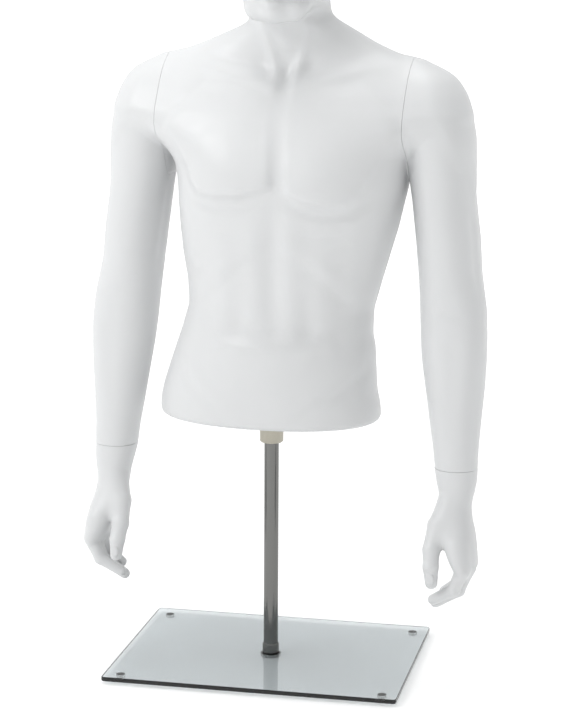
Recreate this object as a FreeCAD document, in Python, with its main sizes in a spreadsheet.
import FreeCAD, Part
import os
import Sketcher
from FreeCAD import Placement, Rotation, Vector

# Half-body male display mannequin with removable arms and hands, on a chromed pole with a glass base.
# Millimetres. Z is up, the floor is Z = 0 and the pole stands on the Z axis. The figure faces -Y.
# The stand is built where it stands. The figure is built straight ahead, and its placement then turns
# it on the pole by figure_yaw. Left (+X) and right (-X) are the figure's own.

SIZES = {
    # stand
    "foot_radius": 6, "foot_height": 4, "foot_inset": 22,
    "glass_width": 400, "glass_depth": 305, "glass_thick": 6, "glass_corner": 5, "glass_edge": 0.7,
    "glass_hole_radius": 4.6,
    "gasket_radius": 11.2, "gasket_thick": 1,
    "ferrule_radius": 11.4, "ferrule_height": 12, "ferrule_bevel": 1.2,
    "pole_radius": 10, "pole_wall": 1.2, "pole_top": 400,
    "insert_height": 30, "slip_gap": 0.02,
    "bolt_radius": 4, "bolt_gap": 0.2, "bolt_head_radius": 8, "bolt_head_thick": 2,
    "hex_socket_radius": 2.9, "hex_socket_depth": 1.2, "bolt_reach": 32,
    "washer_radius": 11, "washer_thick": 1,
    "pad_radius": 14, "pad_skin": 0.8, "pad_gap": 0.2,
    "cap_thick": 3, "cap_plug_depth": 12, "cap_bevel": 1,
    # adaptor that turns on the pole, and the sleeve in the torso that drops over it
    "adaptor_radius": 16, "adaptor_bottom": 309, "adaptor_bevel": 1.5, "torso_bottom": 346,
    "turning_gap": 0.05, "boss_radius": 13, "boss_bevel": 2, "boss_top": 409,
    "key_width": 5, "key_reach": 2, "key_root": 2, "sliding_gap": 0.08,
    "sleeve_radius": 19, "sleeve_end_gap": 1, "sleeve_end_wall": 3,
    "flange_radius": 30, "flange_thick": 3, "fit_gap": 0.1, "sleeve_screw_circle": 24.5,
    # screws
    "screw_radius": 1.5, "screw_head_radius": 2.8, "screw_head_thick": 1.2, "screw_length": 5,
    "screw_gap": 0.05,
    # figure
    "figure_yaw": -4, "figure_middle": 21, "shell_wall": 4, "seam_wall": 7, "floor_wall": 10,
    "seam_from_middle": 166, "seam_gap": 0.4, "armpit_height": 600, "room": 400,
    # shoulder and wrist fittings
    "shoulder_depth": 15, "shoulder_height": 757,
    "shoulder_disc_radius": 24, "disc_thick": 3.5, "shoulder_stem_radius": 8,
    "shoulder_screw_circle": 19, "shoulder_lug_reach": 13, "shoulder_lug_width": 9,
    "lug_thick": 4, "lug_gap": 0.6,
    "wrist_height": 297, "wrist_outward": 237.6, "wrist_depth": -16, "wrist_gap": 0.4,
    "wrist_disc_radius": 17, "wrist_stem_radius": 5, "wrist_screw_circle": 13.5,
    "wrist_lug_reach": 9, "wrist_lug_width": 6,
    # digits
    "finger_radius": 9.2, "fingertip_radius": 7, "thumb_radius": 10.5, "thumb_tip_radius": 8,
}

# Level sections of the hollow mouldings: height, middle across, middle front to back, half width and
# half depth.
TORSO_SECTIONS = [
    (346, -3, 4, 141, 91), (354, -3, 4, 149, 98), (368, -2.5, 4, 150.5, 102), (389, -2, 3, 146, 101),
    (430, 4, -2, 138, 95), (465, 9, -6, 130, 89), (500, 15, -7, 125.5, 86), (535, 19, -7, 131, 89),
    (570, 20.5, -5, 138.5, 95), (605, 23.5, -4, 144.5, 102), (640, 25, -4, 150.5, 110),
    (668, 24, -3, 160, 115), (690, 22, 0, 177, 116), (706, 21, 3, 200, 115), (730, 21, 7, 228, 109),
    (760, 21, 10, 234, 97), (785, 21, 13, 226, 83), (808, 20, 16, 211, 65), (823, 20, 18, 182, 56),
    (839, 19, 19, 139, 52), (855, 20, 17, 98, 52), (870, 21, 13, 71, 54), (890, 20, 7, 61, 55),
    (920, 19, 0, 56, 53),
]
HEAD_SECTIONS = [
    (879, 17, -66, 18, 24), (886, 17, -58, 32, 38), (900, 18, -42, 50, 58), (925, 19, -25, 62, 78),
    (960, 19, -14, 69, 90), (1000, 19, -8, 75, 96), (1040, 19, -4, 76, 98), (1070, 19, -2, 68, 88),
    (1090, 19, 0, 52, 69), (1102, 19, 1, 30, 42), (1107, 19, 1, 10, 14),
]
# The arm's and the hand's middles are measured outward from the figure's middle.
ARM_SECTIONS = [
    (826, 168, 17, 6, 9), (820, 173, 17, 17, 22), (812, 178, 17, 27, 33), (802, 181, 16, 36, 43),
    (785, 186, 17, 42, 54), (757, 192, 16, 47, 62), (729, 198, 15, 46.5, 62), (690, 203, 14, 43, 58),
    (649, 208, 13, 42.5, 55), (601, 214, 11, 43.5, 53), (553, 219.5, 8, 42, 50),
    (504, 226, 5, 43.5, 47), (470, 228.5, 2, 43, 46), (438, 230.5, -2, 41.5, 44),
    (405, 232.5, -6, 38.8, 41), (356, 234.4, -11, 33.8, 35), (320, 236.5, -14, 29.8, 31),
    (297.2, 237.6, -16, 28.5, 29.5),
]
HAND_SECTIONS = [
    (296.8, 237.6, -16, 28.5, 29.5), (275, 239.5, -19, 27, 28), (258, 240.5, -21.5, 25, 26.5),
    (246, 241, -23.5, 23.5, 26.5), (231, 242, -27.5, 23.5, 31), (213, 245.5, -32.5, 24, 37),
    (196, 249, -36, 23, 40), (181, 252, -38, 20, 40), (169, 254, -38, 15.5, 37), (161, 255, -38, 9, 31),
]
# The joints of a digit: outward, front to back, height. The fingers share one path from four places.
FINGER_PATH = [(254, 0, 197), (261, 0, 166), (249, -1, 139), (227, -2, 128)]
FINGER_PLACES = [(-3, -66, 2), (0, -46, -5), (0, -27, -2), (-1, -9, 8)]
THUMB_PATH = [(233, -48, 236), (222, -66, 208), (216, -74, 180), (217, -73, 156)]

doc = FreeCAD.newDocument("mannequin")
sheet = doc.addObject("Spreadsheet::Sheet", "Sizes")
nodes = []


def fill_sheet():
    """Puts every driving size into the sheet as a named cell."""
    row = 1
    for name, number in SIZES.items():
        sheet.set(f"A{row}", name)
        sheet.set(f"B{row}", str(number))
        sheet.setAlias(f"B{row}", name)
        row += 1
    tables = {"torso": TORSO_SECTIONS, "head": HEAD_SECTIONS, "arm": ARM_SECTIONS, "hand": HAND_SECTIONS}
    parts = ["height", "across", "depth", "half_width", "half_depth"]
    for table, sections in tables.items():
        for order, section in enumerate(sections):
            for column, part, number in zip("BCDEF", parts, section):
                sheet.set(f"{column}{row}", str(number))
                sheet.setAlias(f"{column}{row}", f"{table}_{order}_{part}")
            row += 1
    doc.recompute()


def worth(expression):
    """The number that an expression in sheet cells gives."""
    return float(sheet.evalExpression(expression))


def bind(item, prop, expression):
    """Binds a property to an expression in sheet cells."""
    item.setExpression(prop, expression)


# ---- sketches and PartDesign features ----

def new_body(label):
    body = doc.addObject("PartDesign::Body", label)
    body.Label = label
    return body


def new_sketch(body, role, name, lift="0"):
    """A sketch on one of the body's own origin planes, lifted along the plane's normal."""
    plane = [item for item in body.Origin.OriginFeatures if item.Role == role][0]
    sketch = body.newObject("Sketcher::SketchObject", name)
    sketch.AttachmentSupport = (plane, [""])
    sketch.MapMode = "FlatFace"
    bind(sketch, "AttachmentOffset.Base.z", lift)
    return sketch


def fix(sketch, kind, places, expression):
    """Adds a dimension to a sketch and binds it to the sheet."""
    index = sketch.addConstraint(Sketcher.Constraint(kind, *places, worth(expression)))
    sketch.setExpression(f"Constraints[{index}]", expression)


def fix_point(sketch, line, end, across, up):
    """Ties a line's end to a place given by two expressions. Zero means on the axis."""
    if (across, up) == ("0", "0"):
        sketch.addConstraint(Sketcher.Constraint("Coincident", line, end, -1, 1))
        return
    if across == "0":
        sketch.addConstraint(Sketcher.Constraint("PointOnObject", line, end, -2))
    else:
        fix(sketch, "DistanceX", (-1, 1, line, end), across)
    if up == "0":
        sketch.addConstraint(Sketcher.Constraint("PointOnObject", line, end, -1))
    else:
        fix(sketch, "DistanceY", (-1, 1, line, end), up)


def draw_outline(sketch, corners):
    """A closed outline of straight lines through corners given as pairs of expressions."""
    points = [Vector(worth(across), worth(up), 0) for across, up in corners]
    first = sketch.GeometryCount
    for order, point in enumerate(points):
        following = points[(order + 1) % len(points)]
        sketch.addGeometry(Part.LineSegment(point, following))
    for order, (across, up) in enumerate(corners):
        line = first + order
        following = first + (order + 1) % len(points)
        sketch.addConstraint(Sketcher.Constraint("Coincident", line, 2, following, 1))
        fix_point(sketch, line, 1, across, up)


def draw_circle(sketch, radius, across="0", up="0"):
    centre = Vector(worth(across), worth(up), 0)
    circle = sketch.addGeometry(Part.Circle(centre, Vector(0, 0, 1), worth(radius)))
    fix_point(sketch, circle, 3, across, up)
    fix(sketch, "Radius", (circle,), radius)


def pad(body, sketch, length):
    feature = body.newObject("PartDesign::Pad", "pad")
    feature.Profile = sketch
    bind(feature, "Length", length)
    return feature


def pocket(body, sketch, length):
    """Cuts along the sketch plane's own normal and checks that something was cut."""
    before = body.Shape.Volume
    feature = body.newObject("PartDesign::Pocket", "pocket")
    feature.Profile = sketch
    feature.Reversed = True
    bind(feature, "Length", length)
    doc.recompute()
    if body.Shape.Volume >= before:
        raise RuntimeError(f"{body.Label}: the pocket cut nothing")
    return feature


def turned(label, corners):
    """A body turned about Z from a half outline of (radius, height) expressions."""
    body = new_body(label)
    sketch = new_sketch(body, "XZ_Plane", "half_outline")
    draw_outline(sketch, corners)
    feature = body.newObject("PartDesign::Revolution", "turn")
    feature.Profile = sketch
    feature.ReferenceAxis = (sketch, ["V_Axis"])
    feature.Angle = 360
    doc.recompute()
    return body


def ring(label, outer, inner, bottom, thick):
    """A washer-shaped body about Z."""
    body = new_body(label)
    sketch = new_sketch(body, "XY_Plane", "ring", bottom)
    draw_circle(sketch, outer)
    draw_circle(sketch, inner)
    pad(body, sketch, thick)
    return body


# ---- Part primitives and booleans ----

def set_base(item, base):
    for letter, expression in zip("xyz", base):
        bind(item, f"Placement.Base.{letter}", expression)


def cylinder(name, radius, length, base, along=Vector(0, 0, 1)):
    item = doc.addObject("Part::Cylinder", name)
    item.Placement.Rotation = Rotation(Vector(0, 0, 1), along)
    bind(item, "Radius", radius)
    bind(item, "Height", length)
    set_base(item, base)
    return item


def box(name, sides, base):
    item = doc.addObject("Part::Box", name)
    for prop, expression in zip(("Length", "Width", "Height"), sides):
        bind(item, prop, expression)
    set_base(item, base)
    return item


def fuse(name, items):
    result = doc.addObject("Part::MultiFuse", name)
    result.Shapes = items
    return result


def cut(name, base, tool):
    result = doc.addObject("Part::Cut", name)
    result.Base = base
    result.Tool = tool
    return result


def cut_each(name, base, tools):
    """Cuts with one tool after another and checks that each one cut something."""
    for order, tool in enumerate(tools):
        doc.recompute()
        if base.Shape.common(tool.Shape).Volume <= 0:
            raise RuntimeError(f"{name}: {tool.Name} cuts nothing")
        base = cut(f"{name}_{order}", base, tool)
    return base


def common(name, first, second):
    result = doc.addObject("Part::Common", name)
    result.Base = first
    result.Tool = second
    return result


def compound(name, items):
    result = doc.addObject("Part::Compound", name)
    result.Links = items
    return result


def mirror(name, source):
    """The same piece on the figure's other side."""
    result = doc.addObject("Part::Mirroring", name)
    result.Source = source
    result.Normal = Vector(1, 0, 0)
    bind(result, "Base.x", "Sizes.figure_middle")
    return result


def loft(name, table, orders, outward="0", inset="0", rise_ends=("0", "0")):
    """A closed skin over level ellipses of one table. rise_ends moves the first and last one in height."""
    rings = []
    for order in orders:
        cells = f"Sizes.{table}_{order}_"
        width, depth = cells + "half_width", cells + "half_depth"
        item = doc.addObject("Part::Ellipse", f"{name}_{order}")
        if worth(width) >= worth(depth):
            major, minor = width, depth
        else:
            major, minor = depth, width
            item.Placement.Rotation = Rotation(Vector(0, 0, 1), 90)
        bind(item, "MajorRadius", f"{major} - {inset}")
        bind(item, "MinorRadius", f"{minor} - {inset}")
        rise = "0"
        if order == orders[0]:
            rise = rise_ends[0]
        if order == orders[-1]:
            rise = rise_ends[1]
        set_base(item, (f"{outward} + {cells}across", f"{cells}depth", f"{cells}height + {rise}"))
        rings.append(item)
    result = doc.addObject("Part::Loft", name)
    result.Sections = rings
    result.Solid = True
    result.Ruled = False
    return result


def screws(label, places, along):
    """Pan-head screws driven along a direction, and the tool that cuts their holes."""
    made = {}
    for role, gap in (("screws", "0"), ("holes", "Sizes.screw_gap")):
        items = []
        for order, place in enumerate(places):
            head = cylinder(
                f"{label}_{role}_head_{order}", f"Sizes.screw_head_radius + {gap}",
                "Sizes.screw_head_thick", place, along)
            shank = cylinder(
                f"{label}_{role}_shank_{order}", f"Sizes.screw_radius + {gap}",
                "Sizes.screw_length", place, along)
            items.append(fuse(f"{label}_{role}_{order}", [head, shank]))
        made[role] = compound(f"{label}_{role}", items)
    return made["screws"], made["holes"]


# ---- nodes ----

def keep(item, label, on_figure=True):
    """Names a finished sub-part. A sub-part of the figure turns with it on the pole."""
    item.Label = label
    if on_figure:
        item.Placement = Placement(Vector(0, 0, 0), Rotation(Vector(0, 0, 1), worth("Sizes.figure_yaw")))
    nodes.append(item)


def build_stand():
    glass_top = "Sizes.foot_height + Sizes.glass_thick"
    pole_foot = f"{glass_top} + Sizes.gasket_thick"
    pole_bore = "Sizes.pole_radius - Sizes.pole_wall"
    corner_x = "Sizes.glass_width / 2"
    corner_y = "Sizes.glass_depth / 2"

    glass = new_body("glass_base")
    outline = new_sketch(glass, "XY_Plane", "outline", "Sizes.foot_height")
    draw_outline(outline, [
        (f"-{corner_x}", f"-{corner_y}"), (corner_x, f"-{corner_y}"),
        (corner_x, corner_y), (f"-{corner_x}", corner_y)])
    plate = pad(glass, outline, "Sizes.glass_thick")
    doc.recompute()
    rounding = glass.newObject("PartDesign::Fillet", "corners")
    rounding.Base = (plate, [
        f"Edge{order + 1}" for order, edge in enumerate(plate.Shape.Edges)
        if abs(edge.tangentAt(edge.FirstParameter).z) > 0.9])
    bind(rounding, "Radius", "Sizes.glass_corner")
    doc.recompute()
    ground_edge = glass.newObject("PartDesign::Chamfer", "ground_edge")
    ground_edge.Base = (rounding, [
        f"Edge{order + 1}" for order, edge in enumerate(rounding.Shape.Edges)
        if edge.BoundBox.ZLength < worth("Sizes.glass_thick") / 2])
    bind(ground_edge, "Size", "Sizes.glass_edge")
    doc.recompute()
    hole = new_sketch(glass, "XY_Plane", "bolt_hole", "Sizes.foot_height")
    draw_circle(hole, "Sizes.glass_hole_radius")
    pocket(glass, hole, "Sizes.glass_thick")
    keep(glass, "glass_base", False)

    reach_x = f"({corner_x} - Sizes.foot_inset)"
    reach_y = f"({corner_y} - Sizes.foot_inset)"
    for across_name, across in (("left", reach_x), ("right", f"-{reach_x}")):
        for along_name, along in (("front", f"-{reach_y}"), ("back", reach_y)):
            name = f"foot_{along_name}_{across_name}"
            foot = cylinder(name, "Sizes.foot_radius", "Sizes.foot_height", (across, along, "0"))
            keep(foot, name, False)

    head_bottom = "Sizes.foot_height - Sizes.washer_thick - Sizes.bolt_head_thick"
    socket_top = f"{head_bottom} + Sizes.hex_socket_depth"
    head_top = f"{head_bottom} + Sizes.bolt_head_thick"
    bolt_top = f"{head_bottom} + Sizes.bolt_reach"
    bolt = turned("base_bolt", [
        ("0", socket_top), ("Sizes.hex_socket_radius", socket_top),
        ("Sizes.hex_socket_radius", head_bottom),
        ("Sizes.bolt_head_radius", head_bottom), ("Sizes.bolt_head_radius", head_top),
        ("Sizes.bolt_radius", head_top), ("Sizes.bolt_radius", bolt_top), ("0", bolt_top)])
    keep(bolt, "base_bolt", False)

    recess = "Sizes.washer_radius + Sizes.pad_gap"
    cover = turned("bolt_pad", [
        ("0", "0"), ("Sizes.pad_radius", "0"), ("Sizes.pad_radius", "Sizes.foot_height"),
        (recess, "Sizes.foot_height"), (recess, "Sizes.pad_skin"), ("0", "Sizes.pad_skin")])
    keep(cover, "bolt_pad", False)

    bolt_way = "Sizes.bolt_radius + Sizes.bolt_gap"
    rings = {
        "bolt_washer": ("Sizes.washer_radius", bolt_way, head_top, "Sizes.washer_thick"),
        "base_gasket": ("Sizes.gasket_radius", bolt_way, glass_top, "Sizes.gasket_thick"),
        "pole_thread_insert": (
            f"{pole_bore} - Sizes.slip_gap", "Sizes.bolt_radius + Sizes.slip_gap", pole_foot,
            "Sizes.insert_height"),
        "pole": ("Sizes.pole_radius", pole_bore, pole_foot, f"Sizes.pole_top - ({pole_foot})"),
    }
    for name, (outer, inner, bottom, thick) in rings.items():
        keep(ring(name, outer, inner, bottom, thick), name, False)

    ferrule_bore = "Sizes.pole_radius + Sizes.slip_gap"
    ferrule_top = f"{pole_foot} + Sizes.ferrule_height"
    ferrule = turned("pole_ferrule", [
        (ferrule_bore, pole_foot), ("Sizes.ferrule_radius", pole_foot),
        ("Sizes.ferrule_radius", f"{ferrule_top} - Sizes.ferrule_bevel"),
        ("Sizes.ferrule_radius - Sizes.ferrule_bevel", ferrule_top), (ferrule_bore, ferrule_top)])
    keep(ferrule, "pole_ferrule", False)

    plug_radius = f"{pole_bore} - Sizes.slip_gap"
    plug_bottom = "Sizes.pole_top - Sizes.cap_plug_depth"
    cap_top = "Sizes.pole_top + Sizes.cap_thick"
    cap = turned("pole_cap", [
        ("0", plug_bottom), (plug_radius, plug_bottom), (plug_radius, "Sizes.pole_top"),
        ("Sizes.pole_radius", "Sizes.pole_top"), ("Sizes.pole_radius", f"{cap_top} - Sizes.cap_bevel"),
        ("Sizes.pole_radius - Sizes.cap_bevel", cap_top), ("0", cap_top)])
    keep(cap, "pole_cap", False)


def key_rectangles(sketch, half_width, inner, outer):
    """Two keys, one each side of the pole, from an inner to an outer radius."""
    for low, high in ((inner, outer), (f"-({outer})", f"-({inner})")):
        draw_outline(sketch, [
            (low, f"-({half_width})"), (high, f"-({half_width})"), (high, half_width), (low, half_width)])


def build_adaptor_and_sleeve():
    cap_top = "Sizes.pole_top + Sizes.cap_thick"
    bore = "Sizes.pole_radius + Sizes.turning_gap"
    adaptor = turned("pole_adaptor", [
        (bore, "Sizes.adaptor_bottom"),
        ("Sizes.adaptor_radius - Sizes.adaptor_bevel", "Sizes.adaptor_bottom"),
        ("Sizes.adaptor_radius", "Sizes.adaptor_bottom + Sizes.adaptor_bevel"),
        ("Sizes.adaptor_radius", "Sizes.torso_bottom"), ("Sizes.boss_radius", "Sizes.torso_bottom"),
        ("Sizes.boss_radius", "Sizes.boss_top - Sizes.boss_bevel"),
        ("Sizes.boss_radius - Sizes.boss_bevel", "Sizes.boss_top"), ("0", "Sizes.boss_top"),
        ("0", cap_top), (bore, cap_top)])
    keys = new_sketch(adaptor, "XY_Plane", "keys", "Sizes.torso_bottom")
    key_rectangles(
        keys, "Sizes.key_width / 2", "Sizes.boss_radius - Sizes.key_root",
        "Sizes.boss_radius + Sizes.key_reach")
    pad(adaptor, keys, "Sizes.boss_top - Sizes.boss_bevel - Sizes.torso_bottom")
    keep(adaptor, "pole_adaptor")

    bore = "Sizes.boss_radius + Sizes.sliding_gap"
    bore_top = "Sizes.boss_top + Sizes.sleeve_end_gap"
    flange_top = "Sizes.torso_bottom + Sizes.flange_thick"
    sleeve_top = f"{bore_top} + Sizes.sleeve_end_wall"
    sleeve = turned("pole_sleeve_body", [
        (bore, "Sizes.torso_bottom"), ("Sizes.flange_radius", "Sizes.torso_bottom"),
        ("Sizes.flange_radius", flange_top), ("Sizes.sleeve_radius", flange_top),
        ("Sizes.sleeve_radius", sleeve_top), ("0", sleeve_top), ("0", bore_top), (bore, bore_top)])
    slots = new_sketch(sleeve, "XY_Plane", "key_slots", "Sizes.torso_bottom")
    key_rectangles(
        slots, "Sizes.key_width / 2 + Sizes.sliding_gap", "Sizes.boss_radius - Sizes.key_root",
        "Sizes.boss_radius + Sizes.key_reach + Sizes.sliding_gap")
    pocket(sleeve, slots, f"{bore_top} - Sizes.torso_bottom")

    reach = "Sizes.sleeve_screw_circle"
    places = [(f"{across} * {reach}", f"{along} * {reach}", "Sizes.torso_bottom")
              for across, along in ((0.707, 0.707), (-0.707, 0.707), (-0.707, -0.707), (0.707, -0.707))]
    sleeve_screws, holes = screws("sleeve", places, Vector(0, 0, 1))
    keep(cut("pole_sleeve", sleeve, holes), "pole_sleeve")
    keep(sleeve_screws, "sleeve_screws")
    return holes


def half_room(name, start):
    """A large box over everything to the left of a place across the figure."""
    length = "Sizes.room"
    return box(name, (length, f"2 * {length}", f"3 * {length}"), (start, f"-{length}", "0"))


def shoulder_fittings():
    """The turn-lock fitting of the left shoulder: discs, stem, lug, screws and the room that each needs."""
    outward = Vector(1, 0, 0)
    inward = Vector(-1, 0, 0)
    depth, height = "Sizes.shoulder_depth", "Sizes.shoulder_height"
    torso_face = "Sizes.figure_middle + Sizes.seam_from_middle"
    arm_face = f"{torso_face} + Sizes.seam_gap"

    def disc(name, radius, length, start, along=outward):
        return cylinder(name, radius, length, (start, depth, height), along)

    def lug_box(name, gap, width_axis, start, thick):
        long_side = f"2 * (Sizes.shoulder_lug_reach + {gap})"
        short_side = f"Sizes.shoulder_lug_width + 2 * {gap}"
        sides = (long_side, short_side) if width_axis == "Z" else (short_side, long_side)
        return box(name, (thick, *sides), (
            start, f"{depth} - ({sides[0]}) / 2", f"{height} - ({sides[1]}) / 2"))

    def screw_places(face):
        circle = "Sizes.shoulder_screw_circle"
        turns = ((0.866, 0.5), (-0.866, 0.5), (0, -1))
        return [(face, f"{depth} + {along} * {circle}", f"{height} + {up} * {circle}")
                for along, up in turns]

    room = disc("shoulder_socket_room", "Sizes.shoulder_disc_radius + Sizes.fit_gap", "Sizes.disc_thick",
                torso_face, inward)
    lug_room = disc("shoulder_lug_room", "Sizes.shoulder_lug_reach + 2", "Sizes.seam_wall + 1",
                    torso_face, inward)
    socket_disc = disc("shoulder_socket_disc", "Sizes.shoulder_disc_radius", "Sizes.disc_thick",
                       torso_face, inward)
    socket_bore = disc("shoulder_socket_bore", "Sizes.shoulder_stem_radius + Sizes.turning_gap",
                       "Sizes.disc_thick", torso_face, inward)
    keyhole = lug_box("shoulder_keyhole", "Sizes.fit_gap", "Z", f"{torso_face} - Sizes.disc_thick",
                      "Sizes.disc_thick")
    socket_screws, socket_holes = screws("shoulder_socket", screw_places(torso_face), inward)
    socket = cut("shoulder_socket", socket_disc, fuse("socket_ways", [socket_bore, keyhole, socket_holes]))

    plug_disc = disc("shoulder_plug_disc", "Sizes.shoulder_disc_radius", "Sizes.disc_thick", arm_face)
    lug_start = f"{torso_face} - Sizes.disc_thick - Sizes.lug_gap - Sizes.lug_thick"
    stem = disc("shoulder_stem", "Sizes.shoulder_stem_radius", f"{arm_face} - ({lug_start}) + 1", lug_start)
    lug = lug_box("shoulder_lug", "0", "Y", lug_start, "Sizes.lug_thick")
    plug_screws, plug_holes = screws("shoulder_plug", screw_places(arm_face), outward)
    plug = cut("shoulder_plug", fuse("plug_solid", [plug_disc, stem, lug]), plug_holes)
    plug_room = disc("shoulder_plug_room", "Sizes.shoulder_disc_radius + Sizes.fit_gap",
                     "Sizes.disc_thick", arm_face)
    return {
        "torso_tools": fuse("shoulder_torso_tools", [room, lug_room, socket_holes]),
        "arm_tools": fuse("shoulder_arm_tools", [plug_room, plug_holes]),
        "torso_nodes": {"shoulder_socket": socket, "shoulder_socket_screws": socket_screws},
        "arm_nodes": {"shoulder_plug": plug, "shoulder_plug_screws": plug_screws},
    }


def wrist_fittings():
    """The turn-lock fitting of the left wrist, which stands upright."""
    up, down = Vector(0, 0, 1), Vector(0, 0, -1)
    across = "(Sizes.figure_middle + Sizes.wrist_outward)"
    depth = "Sizes.wrist_depth"
    arm_face = "(Sizes.wrist_height + Sizes.wrist_gap / 2)"
    hand_face = "(Sizes.wrist_height - Sizes.wrist_gap / 2)"

    def disc(name, radius, length, start, along=up):
        return cylinder(name, radius, length, (across, depth, start), along)

    def lug_box(name, gap, along_y, start, thick):
        long_side = f"2 * (Sizes.wrist_lug_reach + {gap})"
        short_side = f"Sizes.wrist_lug_width + 2 * {gap}"
        sides = (short_side, long_side) if along_y else (long_side, short_side)
        return box(name, (*sides, thick), (
            f"{across} - ({sides[0]}) / 2", f"{depth} - ({sides[1]}) / 2", start))

    def screw_places(face):
        circle = "Sizes.wrist_screw_circle"
        return [(f"{across} + {side} * {circle}", f"{depth} + {side} * 0.3 * {circle}", face)
                for side in (0.95, -0.95)]

    disc_room_radius = "Sizes.wrist_disc_radius + Sizes.fit_gap"
    room = disc("wrist_socket_room", disc_room_radius, "Sizes.disc_thick", arm_face)
    lug_room = disc("wrist_lug_room", "Sizes.wrist_lug_reach + 2", "Sizes.seam_wall + 2", arm_face)
    socket_disc = disc("wrist_socket_disc", "Sizes.wrist_disc_radius", "Sizes.disc_thick", arm_face)
    socket_bore = disc("wrist_socket_bore", "Sizes.wrist_stem_radius + Sizes.turning_gap",
                       "Sizes.disc_thick", arm_face)
    keyhole = lug_box("wrist_keyhole", "Sizes.fit_gap", True, arm_face, "Sizes.disc_thick")
    socket_screws, socket_holes = screws("wrist_socket", screw_places(arm_face), up)
    socket = cut("wrist_socket", socket_disc, fuse("wrist_ways", [socket_bore, keyhole, socket_holes]))

    plug_disc = disc("wrist_plug_disc", "Sizes.wrist_disc_radius", "Sizes.disc_thick", hand_face, down)
    lug_start = f"{arm_face} + Sizes.disc_thick + Sizes.lug_gap"
    stem = disc("wrist_stem", "Sizes.wrist_stem_radius", f"{lug_start} - ({hand_face}) + Sizes.lug_thick",
                hand_face)
    lug = lug_box("wrist_lug", "0", False, lug_start, "Sizes.lug_thick")
    plug_screws, plug_holes = screws("wrist_plug", screw_places(hand_face), down)
    plug = cut("wrist_plug", fuse("wrist_plug_solid", [plug_disc, stem, lug]), plug_holes)
    plug_room = disc("wrist_plug_room", disc_room_radius, "Sizes.disc_thick", hand_face, down)
    return {
        "arm_tools": fuse("wrist_arm_tools", [room, lug_room, socket_holes]),
        "hand_tools": fuse("wrist_hand_tools", [plug_room, plug_holes]),
        "arm_nodes": {"wrist_socket": socket, "wrist_socket_screws": socket_screws},
        "hand_nodes": {"wrist_plug": plug, "wrist_plug_screws": plug_screws},
    }


def digit(path, start, root_radius, tip_radius):
    """A tapering digit whose round sections turn with its path."""
    points = [start + Vector(*joint) for joint in path]
    rings = []
    for order, point in enumerate(points):
        before = points[max(order - 1, 0)]
        after = points[min(order + 1, len(points) - 1)]
        share = order / (len(points) - 1)
        radius = root_radius + (tip_radius - root_radius) * share
        rings.append(Part.Wire(Part.Circle(point, after - before, radius).toShape()))
    return Part.makeLoft(rings, True)


def build_digits():
    """Four curled fingers side by side and a thumb, as one feature read from the sheet's sizes."""
    start = Vector(worth("Sizes.figure_middle"), 0, 0)
    shapes = [
        digit(FINGER_PATH, start + Vector(*place), worth("Sizes.finger_radius"),
              worth("Sizes.fingertip_radius"))
        for place in FINGER_PLACES]
    shapes.append(digit(THUMB_PATH, start, worth("Sizes.thumb_radius"), worth("Sizes.thumb_tip_radius")))
    feature = doc.addObject("Part::Feature", "digits")
    feature.Shape = shapes[0].multiFuse(shapes[1:])
    return feature


def build_torso(sleeve_holes, shoulder):
    """The torso and head, moulded in one, and the fittings in its two shoulders."""
    middle = "Sizes.figure_middle"
    wall = "Sizes.shell_wall"
    torso_orders = list(range(len(TORSO_SECTIONS)))
    head_orders = list(range(len(HEAD_SECTIONS)))

    def slab(name, inset):
        """The room between the shoulder seams, and everywhere below the armpits, where no seam reaches."""
        reach = f"(Sizes.seam_from_middle - {inset})"
        between = box(f"{name}_between", (f"2 * {reach}", "2 * Sizes.room", "3 * Sizes.room"),
                      (f"{middle} - {reach}", "-Sizes.room", "0"))
        below = box(f"{name}_below", ("2 * Sizes.room", "2 * Sizes.room", "Sizes.armpit_height"),
                    ("-Sizes.room", "-Sizes.room", "0"))
        return fuse(name, [between, below])

    body_skin = loft("body_skin", "torso", torso_orders)
    body_hollow = loft("body_hollow", "torso", torso_orders[1:], inset=wall,
                       rise_ends=("Sizes.floor_wall / 2", "0"))
    head_skin = loft("head_skin", "head", head_orders)
    head_hollow = loft("head_hollow", "head", head_orders[2:], inset=wall, rise_ends=("0", f"-{wall}"))
    torso_skin = fuse("torso_skin", [common("trunk_skin", body_skin, slab("trunk_room", "0")), head_skin])
    torso_hollow = fuse("torso_hollow", [
        common("trunk_hollow", body_hollow, slab("hollow_room", "Sizes.seam_wall")), head_hollow])
    flange_room = cylinder("flange_room", "Sizes.flange_radius + Sizes.fit_gap", "Sizes.flange_thick",
                           ("0", "0", "Sizes.torso_bottom"))
    sleeve_room = cylinder("sleeve_room", "Sizes.sleeve_radius + Sizes.fit_gap", "3 * Sizes.floor_wall",
                           ("0", "0", "Sizes.torso_bottom"))
    tools = [torso_hollow, sleeve_room, flange_room, sleeve_holes, shoulder["torso_tools"],
             mirror("shoulder_torso_tools_right", shoulder["torso_tools"])]
    keep(cut_each("torso_shell", torso_skin, tools), "torso_shell")


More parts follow.
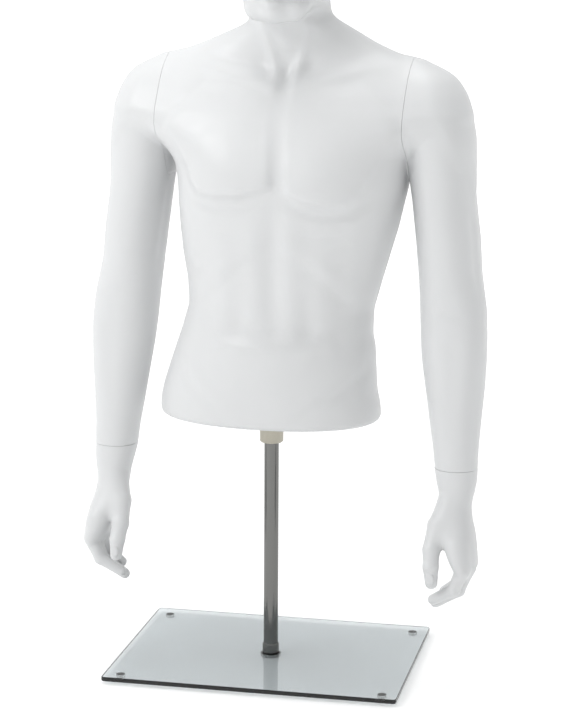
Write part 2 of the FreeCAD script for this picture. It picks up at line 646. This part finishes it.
def build_arms(shoulder):
    """The left arm and hand with their fittings, and the same pieces mirrored on the right."""
    middle = "Sizes.figure_middle"
    wall = "Sizes.shell_wall"
    arm_orders = list(range(len(ARM_SECTIONS)))
    hand_orders = list(range(len(HAND_SECTIONS)))
    wrist = wrist_fittings()

    arm_start = f"{middle} + Sizes.seam_from_middle + Sizes.seam_gap"
    arm_loft = loft("arm_loft", "arm", arm_orders, middle)
    arm_skin = common("arm_skin", arm_loft, half_room("arm_room", arm_start))
    hollow_ends = ("-1", "Sizes.seam_wall")
    hollow_blank = loft("arm_hollow_blank", "arm", arm_orders[1:], middle, wall, hollow_ends)
    hollow_room = half_room("arm_hollow_room", f"{arm_start} + Sizes.seam_wall")
    arm_hollow = common("arm_hollow", hollow_blank, hollow_room)
    arm = cut_each("arm_shell", arm_skin, [arm_hollow, shoulder["arm_tools"], wrist["arm_tools"]])

    palm = loft("palm", "hand", hand_orders, middle)
    hand_skin = fuse("hand_skin", [palm, build_digits()])
    hollow_ends = ("-Sizes.seam_wall", "0")
    hand_hollow = loft("hand_hollow", "hand", hand_orders[:-2], middle, wall, hollow_ends)
    hand = cut_each("hand_shell", hand_skin, [hand_hollow, wrist["hand_tools"]])

    pieces = {"arm_shell": arm, "hand_shell": hand}
    for group in (shoulder["torso_nodes"], shoulder["arm_nodes"], wrist["arm_nodes"], wrist["hand_nodes"]):
        pieces.update(group)
    for name, piece in pieces.items():
        keep(compound(f"{name}_left", [piece]), f"{name}_left")
        keep(compound(f"{name}_right", [mirror(f"{name}_mirrored", piece)]), f"{name}_right")


def check_document():
    """Stops on any object that failed and on any sub-part that isn't a valid closed shape."""
    for item in doc.Objects:
        if "Invalid" in item.State or "Error" in item.State:
            raise RuntimeError(f"{item.Label}: {item.State}")
    for item in nodes:
        shape = item.Shape
        if shape.isNull() or not shape.isValid() or not shape.Solids:
            raise RuntimeError(f"{item.Label}: no valid solid")


def write_parts():
    os.makedirs("parts", exist_ok=True)
    for item in nodes:
        item.Shape.exportStep(f"parts/{item.Label}.step")


fill_sheet()
build_stand()
shoulder_pieces = shoulder_fittings()
build_torso(build_adaptor_and_sleeve(), shoulder_pieces)
build_arms(shoulder_pieces)
doc.recompute()
check_document()
write_parts()
